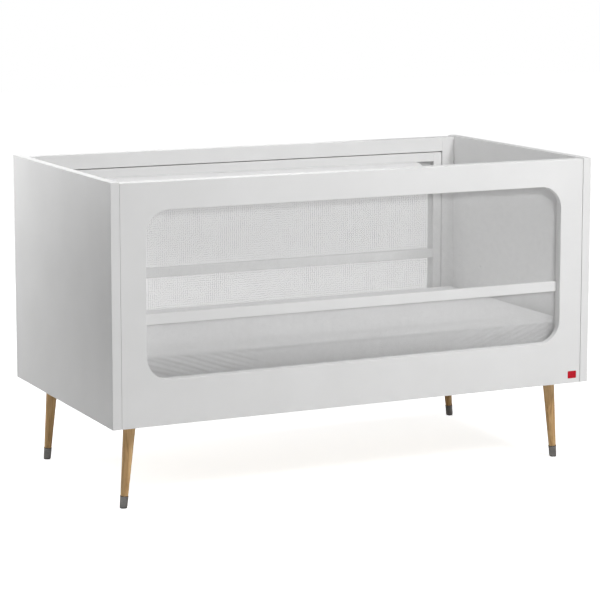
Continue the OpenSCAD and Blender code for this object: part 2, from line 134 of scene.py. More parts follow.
def node(tree, kind, inputs=None, **settings):
    """A new node. settings are its own properties and inputs the numbers in its sockets."""
    made = tree.nodes.new(kind)
    for key, value in settings.items():
        setattr(made, key, value)
    for key, value in (inputs or {}).items():
        made.inputs[key].default_value = value
    return made


def material(name, roughness=0.5, **sockets):
    """A new material with one shader, its node tree and that shader."""
    made = bpy.data.materials.new(name)
    made.use_nodes = True
    shader = made.node_tree.nodes["Principled BSDF"]
    shader.inputs["Roughness"].default_value = roughness
    for key, value in sockets.items():
        shader.inputs[key.replace("_", " ")].default_value = value
    return made, made.node_tree, shader


def place(tree, scale=(1, 1, 1), rotation=(0, 0, 0)):
    """Points of the object in metres, turned and scaled."""
    points = node(tree, "ShaderNodeTexCoord")
    turn = node(tree, "ShaderNodeMapping", {"Rotation": rotation, "Scale": scale})
    tree.links.new(points.outputs["Object"], turn.inputs["Vector"])
    return turn.outputs["Vector"]


def clouds(tree, points, scale, detail=2.0, distortion=0.0):
    """Noise from 0 to 1, with that many blobs to the metre."""
    made = node(tree, "ShaderNodeTexNoise", {"Scale": scale, "Detail": detail, "Distortion": distortion})
    tree.links.new(points, made.inputs["Vector"])
    return made.outputs["Fac"]


def colour_between(tree, shader, factor, stops):
    """The shader's colour, from a list of (place from 0 to 1, colour)."""
    ramp = node(tree, "ShaderNodeValToRGB")
    tree.links.new(factor, ramp.inputs["Fac"])
    points = ramp.color_ramp.elements
    while len(points) < len(stops):
        points.new(0.5)
    for point, (where, colour) in zip(points, stops):
        point.position = where
        point.color = (*colour, 1.0)
    tree.links.new(ramp.outputs["Color"], shader.inputs["Base Color"])


def roughness_between(tree, shader, factor, low, high):
    """The shader's roughness, where the factor goes from 0.3 to 0.7."""
    spread = node(tree, "ShaderNodeMapRange",
                  {"From Min": 0.3, "From Max": 0.7, "To Min": low, "To Max": high})
    tree.links.new(factor, spread.inputs["Value"])
    tree.links.new(spread.outputs["Result"], shader.inputs["Roughness"])


def bump(tree, shader, heights):
    """The shader's bump, from a list of (height from 0 to 1, metres that it stands for)."""
    normal = None
    for height, size in heights:
        made = node(tree, "ShaderNodeBump", {"Strength": 1.0, "Distance": size})
        tree.links.new(height, made.inputs["Height"])
        if normal:
            tree.links.new(normal, made.inputs["Normal"])
        normal = made.outputs["Normal"]
    tree.links.new(normal, shader.inputs["Normal"])


def lacquer():
    """Satin lacquer on board: a faint unevenness of the spray, in colour, gloss and surface."""
    made, tree, shader = material("white_lacquer", Specular_IOR_Level=0.45)
    points = place(tree)
    colour_between(tree, shader, clouds(tree, points, 7, detail=4),
                   [(0.3, (0.815, 0.815, 0.812)), (0.7, (0.845, 0.845, 0.843))])
    roughness_between(tree, shader, clouds(tree, points, 22, detail=3), 0.36, 0.46)
    bump(tree, shader, [(clouds(tree, points, 420, detail=1), 0.000010),
                        (clouds(tree, points, 35, detail=1), 0.000015)])
    return made


def oak():
    """Oiled oak: long growth lines up the leg, fine pores and slow changes of tone."""
    made, tree, shader = material("natural_oak", Specular_IOR_Level=0.4)
    long_points = place(tree, (1, 1, 0.045))
    growth = clouds(tree, long_points, 260, detail=5, distortion=0.6)
    tone = clouds(tree, place(tree, (1, 1, 0.12)), 38, detail=2)
    both = node(tree, "ShaderNodeMix", {"Factor": 0.42})
    tree.links.new(growth, both.inputs["A"])
    tree.links.new(tone, both.inputs["B"])
    colour_between(tree, shader, both.outputs["Result"],
                   [(0.34, (0.420, 0.235, 0.092)), (0.47, (0.660, 0.415, 0.190)),
                    (0.56, (0.740, 0.490, 0.240)), (0.68, (0.820, 0.600, 0.335))])
    pores = clouds(tree, place(tree, (1, 1, 0.02)), 1400, detail=2)
    roughness_between(tree, shader, growth, 0.50, 0.38)
    bump(tree, shader, [(growth, 0.00012), (pores, 0.00008)])
    return made


def birch():
    """Bare planed birch with pale straight grain along the crib or across it."""
    made, tree, shader = material("bare_birch", Specular_IOR_Level=0.3)
    grain = clouds(tree, place(tree, (0.6, 0.05, 1)), 190, detail=5, distortion=0.4)
    flecks = clouds(tree, place(tree, (1, 0.08, 1)), 700, detail=2)
    colour_between(tree, shader, grain,
                   [(0.30, (0.56, 0.42, 0.25)), (0.50, (0.70, 0.56, 0.36)), (0.70, (0.80, 0.68, 0.47))])
    roughness_between(tree, shader, flecks, 0.55, 0.70)
    bump(tree, shader, [(grain, 0.00010), (flecks, 0.00005)])
    return made


def net_yarn():
    """White polyester yarn of the mesh, a little uneven along its length."""
    made, tree, shader = material("white_mesh", Specular_IOR_Level=0.3, Sheen_Weight=0.15)
    points = place(tree)
    colour_between(tree, shader, clouds(tree, points, 60, detail=3),
                   [(0.3, (0.60, 0.60, 0.60)), (0.7, (0.66, 0.66, 0.66))])
    roughness_between(tree, shader, clouds(tree, points, 300), 0.60, 0.75)
    bump(tree, shader, [(clouds(tree, points, 2500, detail=1), 0.00006)])
    return made


def linen():
    """White cotton of the fitted sheet: a fine plain weave with slubs."""
    made, tree, shader = material("bed_linen", Specular_IOR_Level=0.2, Sheen_Weight=0.25,
                                  Sheen_Roughness=0.5)
    points = place(tree)
    colour_between(tree, shader, clouds(tree, points, 90, detail=5),
                   [(0.3, (0.89, 0.89, 0.892)), (0.7, (0.92, 0.92, 0.922))])
    roughness_between(tree, shader, clouds(tree, points, 500), 0.78, 0.90)
    along = clouds(tree, place(tree, (0.12, 1, 1)), 1500, detail=1)
    across = clouds(tree, place(tree, (1, 0.12, 0.12)), 1500, detail=1)
    bump(tree, shader, [(along, 0.00012), (across, 0.00012), (clouds(tree, points, 55), 0.0004)])
    return made


def ticking():
    """Knitted cover of the mattress itself, under the sheet: small raised cells."""
    made, tree, shader = material("ticking", Specular_IOR_Level=0.2, Sheen_Weight=0.2)
    points = place(tree)
    colour_between(tree, shader, clouds(tree, points, 120, detail=4),
                   [(0.3, (0.70, 0.71, 0.72)), (0.7, (0.80, 0.81, 0.82))])
    roughness_between(tree, shader, clouds(tree, points, 400), 0.80, 0.92)
    cells = node(tree, "ShaderNodeTexVoronoi", {"Scale": 160.0}, feature="SMOOTH_F1")
    tree.links.new(points, cells.inputs["Vector"])
    bump(tree, shader, [(cells.outputs["Distance"], 0.0012)])
    return made


def nickel():
    """Dark brushed nickel: fine turning lines round the ferrule."""
    made, tree, shader = material("dark_nickel", Metallic=1.0)
    lines = clouds(tree, place(tree, (0.02, 0.02, 1)), 4200, detail=2)
    smudges = clouds(tree, place(tree), 90, detail=3)
    colour_between(tree, shader, smudges, [(0.3, (0.24, 0.235, 0.23)), (0.7, (0.31, 0.305, 0.30))])
    roughness_between(tree, shader, lines, 0.12, 0.22)
    bump(tree, shader, [(lines, 0.00004)])
    return made


def zinc():
    """Bright zinc plating with its faint crystals."""
    made, tree, shader = material("zinc_steel", Metallic=1.0)
    crystals = node(tree, "ShaderNodeTexVoronoi", {"Scale": 260.0})
    points = place(tree)
    tree.links.new(points, crystals.inputs["Vector"])
    colour_between(tree, shader, crystals.outputs["Distance"],
                   [(0.0, (0.60, 0.61, 0.63)), (1.0, (0.50, 0.51, 0.52))])
    roughness_between(tree, shader, clouds(tree, points, 150, detail=3), 0.30, 0.45)
    bump(tree, shader, [(clouds(tree, points, 900), 0.00005)])
    return made


def plastic():
    """Black moulded plastic with a fine spark-eroded grain."""
    made, tree, shader = material("black_plastic")
    points = place(tree)
    colour_between(tree, shader, clouds(tree, points, 200, detail=3),
                   [(0.3, (0.020, 0.020, 0.021)), (0.7, (0.035, 0.035, 0.036))])
    roughness_between(tree, shader, clouds(tree, points, 700), 0.50, 0.65)
    bump(tree, shader, [(clouds(tree, points, 1800), 0.00006)])
    return made


def tag_enamel():
    """Red satin enamel of the small blank tag."""
    made, tree, shader = material("red_tag", Specular_IOR_Level=0.25)
    points = place(tree)
    colour_between(tree, shader, clouds(tree, points, 260, detail=3),
                   [(0.3, (0.50, 0.003, 0.014)), (0.7, (0.60, 0.006, 0.022))])
    roughness_between(tree, shader, clouds(tree, points, 500), 0.34, 0.48)
    bump(tree, shader, [(clouds(tree, points, 1500), 0.00005)])
    return made


FINISHES = {
    "white_lacquer": lacquer(),
    "natural_oak": oak(),
    "bare_birch": birch(),
    "white_mesh": net_yarn(),
    "mattress_fabric": linen(),
    "dark_nickel": nickel(),
    "zinc_steel": zinc(),
    "black_plastic": plastic(),
    "red_tag": tag_enamel(),
}
TICKING = ticking()


# ---- mesh helpers --------------------------------------------------------

def piece(name, mesh, slot, body, replaced=(), finish=None, turned=None):
    """A new piece of the object, with its finish and its body. It hides the CAD nodes it stands for."""
    made = bpy.data.objects.new(name, mesh)
    if turned:
        made.matrix_world = turned
    bpy.context.scene.collection.objects.link(made)
    mesh.materials.clear()
    mesh.materials.append(finish or FINISHES[slot])
    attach(made, body)
    if replaced:
        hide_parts(*replaced)
    return made


def mesh_of(name, vertices, faces):
    """A new mesh from its points and the corners of its faces."""
    made = bpy.data.meshes.new(name)
    made.from_pydata([tuple(v) for v in vertices], [], faces)
    made.validate()
    made.update()
    return made


def outward(mesh):
    """Turns every face of a closed mesh outward."""
    work = bmesh.new()
    work.from_mesh(mesh)
    bmesh.ops.recalc_face_normals(work, faces=work.faces)
    work.to_mesh(mesh)
    work.free()


def smooth(obj, sharp_degrees=50):
    """Smooth shading that keeps flat faces flat and real edges crisp."""
    obj.data.shade_smooth()
    obj.data.set_sharp_from_angle(angle=math.radians(sharp_degrees))
    normals = obj.modifiers.new("flat_faces", "WEIGHTED_NORMAL")
    normals.keep_sharp = True
    return obj


def sharp_box(work, low, high):
    """Adds a box to a bmesh, and gives its corners."""
    new = bmesh.ops.create_cube(work, size=1.0)["verts"]
    for vertex in new:
        for axis in range(3):
            vertex.co[axis] = high[axis] if vertex.co[axis] > 0 else low[axis]
    return new


def rounded_box(work, low, high, radius, steps=EDGE_STEPS):
    """Adds a box with rounded edges to a bmesh."""
    new = sharp_box(work, low, high)
    edges = {edge for vertex in new for edge in vertex.link_edges}
    bmesh.ops.bevel(work, geom=list(edges), offset=radius, segments=steps, profile=0.5,
                    affect="EDGES", clamp_overlap=True)


def boxes_mesh(name, boxes, radius):
    """One mesh of rounded boxes, each a (low, high)."""
    work = bmesh.new()
    for low, high in boxes:
        rounded_box(work, low, high, radius)
    made = bpy.data.meshes.new(name)
    work.to_mesh(made)
    work.free()
    return made


def islands(node_name):
    """The (low, high) box of each separate solid in a CAD node."""
    work = bmesh.new()
    work.from_mesh(frame["nodes"][node_name].data)
    bmesh.ops.remove_doubles(work, verts=work.verts, dist=1e-6)
    left = set(work.verts)
    boxes = []
    while left:
        reached = {left.pop()}
        open_ends = list(reached)
        while open_ends:
            vertex = open_ends.pop()
            for edge in vertex.link_edges:
                other = edge.other_vert(vertex)
                if other in left:
                    left.discard(other)
                    reached.add(other)
                    open_ends.append(other)
        low = Vector([min(v.co[axis] for v in reached) for axis in range(3)])
        high = Vector([max(v.co[axis] for v in reached) for axis in range(3)])
        boxes.append((low, high))
    work.free()
    return sorted(boxes, key=lambda box: tuple(round(x, 4) for x in box[0]))


def cut_from(mesh, cutters):
    """The mesh with the solids of a bmesh cut away."""
    cutter_mesh = bpy.data.meshes.new("cutter")
    cutters.to_mesh(cutter_mesh)
    cutters.free()
    scene_objects = bpy.context.scene.collection.objects
    cutter = bpy.data.objects.new("cutter", cutter_mesh)
    target = bpy.data.objects.new("target", mesh)
    scene_objects.link(cutter)
    scene_objects.link(target)
    cut = target.modifiers.new("cut", "BOOLEAN")
    cut.object = cutter
    cut.operation = "DIFFERENCE"
    cut.solver = "EXACT"
    evaluated = target.evaluated_get(bpy.context.evaluated_depsgraph_get())
    result = bpy.data.meshes.new_from_object(evaluated)
    bpy.data.objects.remove(target)
    bpy.data.objects.remove(cutter)
    return result


def drilled(mesh, holes):
    """The mesh with round holes in it, each given by its two end points and its radius."""
    if not holes:
        return mesh
    cutters = bmesh.new()
    for start, end, radius in holes:
        turn = (end - start).to_track_quat("Z", "Y").to_matrix().to_4x4()
        turn.translation = (start + end) / 2
        bmesh.ops.create_cone(cutters, cap_ends=True, segments=HOLE_STEPS, radius1=radius,
                              radius2=radius, depth=(end - start).length, matrix=turn)
    return cut_from(mesh, cutters)


def loop(half_x, half_z, radius, steps, middle, y):
    """Points round a rounded rectangle that stands in a plane of constant y."""
    points = []
    for corner in range(4):
        sign_x = 1 if corner in (0, 3) else -1
        sign_z = 1 if corner in (0, 1) else -1
        centre_x = middle.x + sign_x * (half_x - radius)
        centre_z = middle.z + sign_z * (half_z - radius)
        for step in range(steps + 1):
            angle = math.radians(90 * (corner + step / steps))
            points.append((centre_x + radius * math.cos(angle), y, centre_z + radius * math.sin(angle)))
    return points


def lofted(name, loops, closed):
    """A mesh through loops that have the same number of points; closed joins the last to the first."""
    count = len(loops[0])
    vertices = [point for points in loops for point in points]
    faces = []
    for ring in range(len(loops) if closed else len(loops) - 1):
        following = (ring + 1) % len(loops)
        for i in range(count):
            j = (i + 1) % count
            faces.append((ring * count + i, ring * count + j,
                          following * count + j, following * count + i))
    return mesh_of(name, vertices, faces)


# ---- lacquered panels ----------------------------------------------------

def window_board(side):
    """The outer board of a long side: one ring of loops over its outer and its window edges."""
    name = f"{side}_board"
    low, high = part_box(name)
    window_low, window_high = window_opening()
    middle = (low + high) / 2
    window_middle = (window_low + window_high) / 2
    outer_half = (high - low) / 2
    window_half = (window_high - window_low) / 2
    corner = PANEL_EDGE + 0.0002    # a little more than the edge, so that no loop shrinks to nothing
    arc = [math.radians(90 * step / EDGE_STEPS) for step in range(EDGE_STEPS + 1)]
    loops = []
    for y, turn in ((low.y, 1), (high.y, -1)):
        rounds = [(PANEL_EDGE * (1 - math.sin(a)), turn * PANEL_EDGE * (1 - math.cos(a))) for a in arc]
        outer = [loop(outer_half.x - inset, outer_half.z - inset, corner - inset * 0.99,
                      WINDOW_ARC_STEPS, middle, y + depth) for inset, depth in rounds]
        inner = [loop(window_half.x + inset, window_half.z + inset, WINDOW_RADIUS + inset,
                      WINDOW_ARC_STEPS, window_middle, y + depth) for inset, depth in rounds]
        loops += inner[::-1] + outer if turn > 0 else outer[::-1] + inner
    mesh = lofted(name, loops, closed=True)
    outward(mesh)
    if side == "front":
        mesh = cut_from(mesh, tag_pocket())
    return smooth(piece(f"lacquered_{name}", mesh, "white_lacquer", "crib_frame", [name]))


def window_opening():
    """Lowest and highest corner of the window, from the frame that stands behind it."""
    low_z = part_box("front_insert_bottom_rail")[1].z
    high_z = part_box("front_insert_top_rail")[0].z
    edge_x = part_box("front_insert_left_stile")[1].x
    return Vector((edge_x, 0, low_z)), Vector((-edge_x, 0, high_z))


def flush_holes(fittings, low, high):
    """Holes along y for the fittings of a CAD node that lie in a box and come out at one of its faces."""
    found = []
    for part_low, part_high in islands(fittings):
        centre = (part_low + part_high) / 2
        size = part_high - part_low
        if not (low.x <= centre.x <= high.x and low.z <= centre.z <= high.z):
            continue
        if not low.y - 0.001 < centre.y < high.y + 0.001:
            continue
        radius = max(size.x, size.z) / 2 + HOLE_PLAY
        for face, depth in ((low.y, part_high.y), (high.y, part_low.y)):
            if min(abs(part_low.y - face), abs(part_high.y - face)) < FLUSH:
                outside = face + math.copysign(CUT_PAST, face - depth)
                found.append((Vector((centre.x, outside, centre.z)),
                              Vector((centre.x, depth, centre.z)), radius))
    return found


def lacquered_box(name, radius, fittings=None, holes=(), grooves=()):
    """A rail, stile or panel with rounded edges, the holes that show and grooves cut by boxes."""
    low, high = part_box(name)
    mesh = boxes_mesh(name, [(low, high)], radius)
    if fittings:
        holes = flush_holes(fittings, low, high)
    mesh = drilled(mesh, holes)
    if grooves:
        cutters = bmesh.new()
        for groove_low, groove_high in grooves:
            sharp_box(cutters, groove_low, groove_high)
        mesh = cut_from(mesh, cutters)
    return smooth(piece(f"lacquered_{name}", mesh, "white_lacquer", "crib_frame", [name]))


def end_panels():
    """Solid ends, with the pin holes for the three levels of the base."""
    raise_by = records["base_height"]["range_m"][1] / 2
    pins = islands("base_support_pins")
    for end, sign in ENDS:
        name = f"end_panel_{end}"
        low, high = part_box(name)
        inner_face = low.x if sign > 0 else high.x
        holes = []
        for pin_low, pin_high in pins:
            centre = (pin_low + pin_high) / 2
            if centre.x * sign < 0:
                continue
            radius = (pin_high.y - pin_low.y) / 2 + PIN_PLAY
            for level in (0, 1, 2):
                start = Vector((inner_face - sign * CUT_PAST, centre.y, centre.z + level * raise_by))
                bottom = start + Vector((sign * (PIN_HOLE_DEPTH + CUT_PAST), 0, 0))
                holes.append((start, bottom, radius))
        lacquered_box(name, PANEL_EDGE, holes=holes)


def long_sides():
    """Boards, borders and insert frames of the two long sides."""
    play = Vector((GROOVE_PLAY, GROOVE_PLAY, GROOVE_PLAY))
    for side, _ in SIDES:
        window_board(side)
        grooves = [(low - play, high + play) for low, high in islands(f"{side}_mesh")]
        for bar in ("top_rail", "bottom_rail"):
            lacquered_box(f"{side}_border_{bar}", RAIL_EDGE)
        for bar in ("left_stile", "right_stile"):
            lacquered_box(f"{side}_border_{bar}", RAIL_EDGE, fittings="panel_cam_locks")
        for bar in ("top_rail", "bottom_rail", "mid_rail", "left_stile", "right_stile"):
            lacquered_box(f"{side}_insert_{bar}", RAIL_EDGE, grooves=grooves)


# ---- mesh panels ---------------------------------------------------------

def thread(vertices, faces, start, end, near_y, far_y):
    """Adds one straight thread between two points of a net, a thin closed bar between two depths."""
    first = len(vertices)
    across = Vector((start.z - end.z, 0, end.x - start.x)).normalized() * THREAD_WIDTH / 2
    for y in (near_y, far_y):
        for point in (start - across, end - across, end + across, start + across):
            vertices.append((point.x, y, point.z))
    for a, b, c, d in ((3, 2, 1, 0), (4, 5, 6, 7), (0, 1, 5, 4), (1, 2, 6, 5), (2, 3, 7, 6), (3, 0, 4, 7)):
        faces.append((first + a, first + b, first + c, first + d))


def lines_across(low, high, upright):
    """The ends of the upright or level lines that cross a rectangle, a pitch apart."""
    reach = high.x - low.x if upright else high.z - low.z
    lines = []
    for i in range(1, int(reach / NET_PITCH)):
        if upright:
            x = low.x + i * NET_PITCH
            lines.append((Vector((x, 0, low.z)), Vector((x, 0, high.z))))
        else:
            z = low.z + i * NET_PITCH
            lines.append((Vector((low.x, 0, z)), Vector((high.x, 0, z))))
    return lines


def net_mesh(size):
    """Level and upright threads over a panel round the origin, outer face towards -y."""
    half = Vector((size.x / 2 - THREAD_WIDTH, 0, size.z / 2 - THREAD_WIDTH))
    vertices, faces = [], []
    for upright, depth in ((False, NET_BACK), (True, NET_BACK + THREAD_THICKNESS * NET_OVERLAP)):
        near_y = depth - size.y / 2
        for start, end in lines_across(-half, half, upright):
            thread(vertices, faces, start, end, near_y, near_y + THREAD_THICKNESS)
    mesh = mesh_of("net", vertices, faces)
    outward(mesh)
    return mesh


def hem_mesh(low, high):
    """The woven edge round a net: four flat strips."""
    strips = []
    for low_x, high_x, low_z, high_z in (
        (low.x, high.x, low.z, low.z + NET_HEM),
        (low.x, high.x, high.z - NET_HEM, high.z),
        (low.x, low.x + NET_HEM, low.z + NET_HEM, high.z - NET_HEM),
        (high.x - NET_HEM, high.x, low.z + NET_HEM, high.z - NET_HEM),
    ):
        strips.append((Vector((low_x, low.y, low_z)), Vector((high_x, high.y, high_z))))
    return boxes_mesh("hem", strips, HEM_EDGE)


def nets():
    """The mesh of each long side, a lower and an upper pane. The two sides share their meshes."""
    meshes = [net_mesh(high - low) for low, high in islands("front_mesh")]
    for side, sign in SIDES:
        facing = Matrix.Rotation(0.0 if sign < 0 else math.pi, 4, "Z")
        for part, bar, mesh, (low, high) in zip(("lower", "upper"), ("bottom_rail", "top_rail"), meshes,
                                                islands(f"{side}_mesh")):
            name = f"{side}_{part}"
            placed = Matrix.Translation((low + high) / 2) @ facing
            made = piece(f"net_{name}", mesh, "white_mesh", "crib_frame", [f"{side}_mesh"], turned=placed)
            hem = smooth(piece(f"hem_{name}", hem_mesh(low, high), "white_mesh", "crib_frame"))


# ---- tag -----------------------------------------------------------------

def tag_loop(inset, y):
    """Points round the tag, a step in from its outline."""
    low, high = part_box("side_tag")
    half = (high - low) / 2
    return loop(half.x - inset, half.z - inset, max(TAG_RADIUS - inset, 0.0003), 8, (low + high) / 2, y)


def tag_pocket():
    """The room for the tag in the front board, as a solid to cut away."""
    low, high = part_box("side_tag")
    loops = [tag_loop(-TAG_PLAY, low.y - CUT_PAST), tag_loop(-TAG_PLAY, high.y)]
    return capped(loops)


def capped(loops):
    """A closed bmesh through loops, with a face over the first and the last."""
    work = bmesh.new()
    rings = [[work.verts.new(point) for point in points] for points in loops]
    for ring, following in zip(rings, rings[1:]):
        for i in range(len(ring)):
            j = (i + 1) % len(ring)
            work.faces.new((ring[i], ring[j], following[j], following[i]))
    work.faces.new(rings[0])
    work.faces.new(rings[-1][::-1])
    bmesh.ops.recalc_face_normals(work, faces=work.faces)
    return work


def tag():
    """The small blank tag: an enamelled plate with a raised rim."""
    low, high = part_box("side_tag")
    face = low.y
    sunk = face + TAG_SUNK
    loops = [tag_loop(0, high.y), tag_loop(0, face + TAG_EDGE), tag_loop(TAG_EDGE, face),
             tag_loop(TAG_RIM, face), tag_loop(TAG_RIM + TAG_EDGE, sunk), tag_loop(TAG_RIM * 3, sunk)]
    work = capped(loops)
    mesh = bpy.data.meshes.new("tag")
    work.to_mesh(mesh)
    work.free()
    smooth(piece("blank_tag", mesh, "red_tag", "crib_frame", ["side_tag"]))


# ---- mattress ------------------------------------------------------------

def flat_loop(half_x, half_y, radius, count_x, count_y, steps, z):
    """Points round a level rounded rectangle, with a fixed number along each straight and corner."""
    radius = max(min(radius, half_x - 0.0005, half_y - 0.0005), 0.0002)
    corners = ((1, 1), (-1, 1), (-1, -1), (1, -1))
    points = []
    for corner, (sign_x, sign_y) in enumerate(corners):
        centre = Vector((sign_x * (half_x - radius), sign_y * (half_y - radius), z))
        for step in range(steps):
            angle = math.radians(90 * (corner + step / steps))
            points.append(centre + Vector((math.cos(angle), math.sin(angle), 0)) * radius)
        start = centre + Vector((math.cos(math.radians(90 * (corner + 1))),
                                 math.sin(math.radians(90 * (corner + 1))), 0)) * radius
        next_x, next_y = corners[(corner + 1) % 4]
        next_centre = Vector((next_x * (half_x - radius), next_y * (half_y - radius), z))
        end = next_centre + (start - centre)
        count = count_x if corner % 2 == 0 else count_y
        for i in range(count):
            points.append(start.lerp(end, i / count))
    return points


def core_mesh(low, high, radius):
    """The padding before it swells: a box with soft edges."""
    work = bmesh.new()
    rounded_box(work, low, high, radius, steps=5)
    made = bpy.data.meshes.new("core")
    work.to_mesh(made)
    work.free()
    return made


def swollen(obj, voxel, pressure, frames, cap):
    """Fills the padding by cloth simulation, and moves no point further than cap."""
    remesh = obj.modifiers.new("remesh", "REMESH")
    remesh.mode = "VOXEL"
    remesh.voxel_size = voxel
    evaluated = obj.evaluated_get(bpy.context.evaluated_depsgraph_get())
    start_mesh = bpy.data.meshes.new_from_object(evaluated)
    obj.modifiers.clear()
    obj.data = start_mesh
    rest = [v.co.copy() for v in start_mesh.vertices]
    cloth = obj.modifiers.new("cloth", "CLOTH")
    cloth.settings.quality = 6
    cloth.settings.mass = 0.3
    cloth.settings.tension_stiffness = 25
    cloth.settings.compression_stiffness = 25
    cloth.settings.shear_stiffness = 12
    cloth.settings.bending_stiffness = 1.5
    cloth.settings.use_pressure = True
    cloth.settings.uniform_pressure_force = pressure
    cloth.settings.effector_weights.gravity = 0
    scene = bpy.context.scene
    for step in range(1, frames + 1):
        scene.frame_set(step)
    evaluated = obj.evaluated_get(bpy.context.evaluated_depsgraph_get())
    moved = [v.co.copy() for v in evaluated.data.vertices]
    obj.modifiers.clear()
    scene.frame_set(1)
    for vertex, before, after in zip(start_mesh.vertices, rest, moved):
        shift = after - before
        if shift.length > cap:
            shift *= cap / shift.length
        vertex.co = before + shift
    start_mesh.update()


def smooth_step(start, end, value):
    """0 up to start and 1 from end on, with a soft rise between them."""
    t = min(max((value - start) / (end - start), 0.0), 1.0)
    return t * t * (3 - 2 * t)


def side_folds(from_corner, depth, seed):
    """How far a slanting fold of the sheet stands out on a side, from 0 to 1.
    from_corner is the way along the side from its nearest corner, and depth the way down it."""
    sway = 0.012 * noise.noise(Vector((from_corner * 6, depth * 5, seed)))
    along = from_corner - FOLD_LEAN * depth + sway
    fine = (0.5 + 0.5 * math.cos(2 * math.pi * along / FOLD_SPACING)) ** 1.5
    broad = 0.5 + 0.5 * math.cos(2 * math.pi * along / (2.6 * FOLD_SPACING) + seed)
    strength = 0.75 + 0.5 * noise.noise(Vector((from_corner * 9, depth * 12, seed)))
    reach = smooth_step(0.48, 0.28, from_corner) * smooth_step(0.0, 0.035, from_corner)
    return min(0.5 * fine * strength + 0.3 * broad, 1.0) * reach


def profile(low, high):
    """The line of the sheet from near the top's middle, over the edge, down and under.
    Each entry is its inset from the side and its height."""
    entries = []
    flat = high.y - SHEET_EDGE
    top_steps = int(flat / SHEET_TOP_STEP)
    for i in range(top_steps, 0, -1):
        entries.append((SHEET_EDGE + (i * flat / top_steps) * 0.985, high.z))
    for i in range(15):
        angle = math.radians(90 * i / 14)
        entries.append((SHEET_EDGE * (1 - math.sin(angle)), high.z - SHEET_EDGE * (1 - math.cos(angle))))
    side_low = low.z + SHEET_LOW_EDGE
    side_high = high.z - SHEET_EDGE
    side_steps = round((side_high - side_low) / SHEET_SIDE_STEP)
    for i in range(1, side_steps):
        entries.append((0.0, side_high + (side_low - side_high) * i / side_steps))
    for i in range(6):
        angle = math.radians(90 * i / 5)
        entries.append((SHEET_LOW_EDGE * (1 - math.cos(angle)),
                        side_low - SHEET_LOW_EDGE * math.sin(angle)))
    for i in range(1, SHEET_UNDER_STEPS + 1):
        reach = (SHEET_UNDER - SHEET_LOW_EDGE) * i / SHEET_UNDER_STEPS
        entries.append((SHEET_LOW_EDGE + reach, low.z))
    return entries


def fitted_sheet(low, high):
    """The fitted sheet: pulled over the mattress, with slanting folds at the ends of its sides."""
    cover_low = low + SHEET_INSIDE + SHEET_OFF_BASE
    cover_high = high - SHEET_INSIDE
    half_x, half_y = cover_high.x, cover_high.y
    count_x = round(2 * (half_x - SHEET_CORNER) / SHEET_STEP)
    count_y = round(2 * (half_y - SHEET_CORNER) / SHEET_STEP)
    loops = []
    for inset, z in profile(cover_low, cover_high):
        points = flat_loop(half_x - inset, half_y - inset, SHEET_CORNER - inset, count_x, count_y,
                           SHEET_CORNER_STEPS, z)
        loops.append([draped_point(point, cover_high) for point in points])
    mesh = lofted("fitted_sheet", loops, closed=False)
    close_top(mesh, loops[0])
    outward_open(mesh)
    made = piece("fitted_sheet", mesh, "mattress_fabric", "mattress")
    made.data.shade_smooth()
    return made


def draped_point(point, cover_high):
    """A point of the smooth cover, moved by the folds and waves of the cloth."""
    depth = cover_high.z - point.z
    from_x = cover_high.x - abs(point.x)
    from_y = cover_high.y - abs(point.y)
    moved = point.copy()
    if depth > 0.0005:
        on_long = from_y < from_x
        along = from_x if on_long else from_y
        seed = (2.0 if point.x > 0 else 5.0) + (7.0 if point.y > 0 else 0.0) + (0 if on_long else 11.0)
        out = side_folds(along, depth, seed)
        slack = 0.5 + 0.5 * noise.noise(Vector((point.x * 7 + 1.7, point.y * 7, point.z * 7)))
        inward = FOLD * (1 - out) + 0.0010 * slack
        under = min(from_x, from_y)
        inward *= smooth_step(0.0, 0.014, depth) * smooth_step(0.030, 0.006, under)
        if on_long:
            moved.y -= math.copysign(inward, point.y)
        else:
            moved.x -= math.copysign(inward, point.x)
    lift = smooth_step(0.0, 0.10, min(from_x, from_y))
    waves = 0.5 - 0.5 * noise.noise(Vector((point.x * 3.2, point.y * 7.5, 2.3)))
    long_waves = 0.5 - 0.5 * noise.noise(Vector((point.x * 2.0, point.y * 16.0, 8.9)))
    if depth < SHEET_EDGE:
        moved.z -= (0.0028 * waves + 0.0018 * long_waves) * (0.15 + 0.85 * lift)
    return moved


def close_top(mesh, ring):
    """Joins the innermost loop of the top across its narrow middle."""
    work = bmesh.new()
    work.from_mesh(mesh)
    work.verts.ensure_lookup_table()
    rim = [work.verts[i] for i in range(len(ring))]
    work.faces.new(rim)
    work.faces.ensure_lookup_table()
    bmesh.ops.triangulate(work, faces=[work.faces[-1]])
    work.to_mesh(mesh)
    work.free()


def outward_open(mesh):
    """Turns the faces of an open cover so that its top looks up."""
    work = bmesh.new()
    work.from_mesh(mesh)
    bmesh.ops.recalc_face_normals(work, faces=work.faces)
    work.faces.ensure_lookup_table()
    top = max(work.faces, key=lambda face: face.calc_center_median().z)
    if top.normal.z < 0:
        bmesh.ops.reverse_faces(work, faces=work.faces)
    work.to_mesh(mesh)
    work.free()


def mattress():
    """The padding in its ticking, and the fitted sheet over it."""
    low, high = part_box("mattress")
    shrink = CORE_INSET + CORE_SWELL
    core_low = low + Vector((shrink, shrink, CORE_LIFT))
    core_high = high - Vector((shrink, shrink, CORE_SWELL + CORE_UNDER_TOP))
    core = piece("mattress_padding", core_mesh(core_low, core_high, CORE_EDGE), "mattress_fabric",
                 "mattress", ["mattress"], finish=TICKING)
    swollen(core, CORE_VOXEL, pressure=4, frames=20, cap=CORE_SWELL)
    for vertex in core.data.vertices:
        vertex.co.z = max(vertex.co.z, low.z + CORE_LOWEST)
    core.data.shade_smooth()
    sheet = fitted_sheet(low, high)


# ---- carried-over CAD nodes ----------------------------------------------

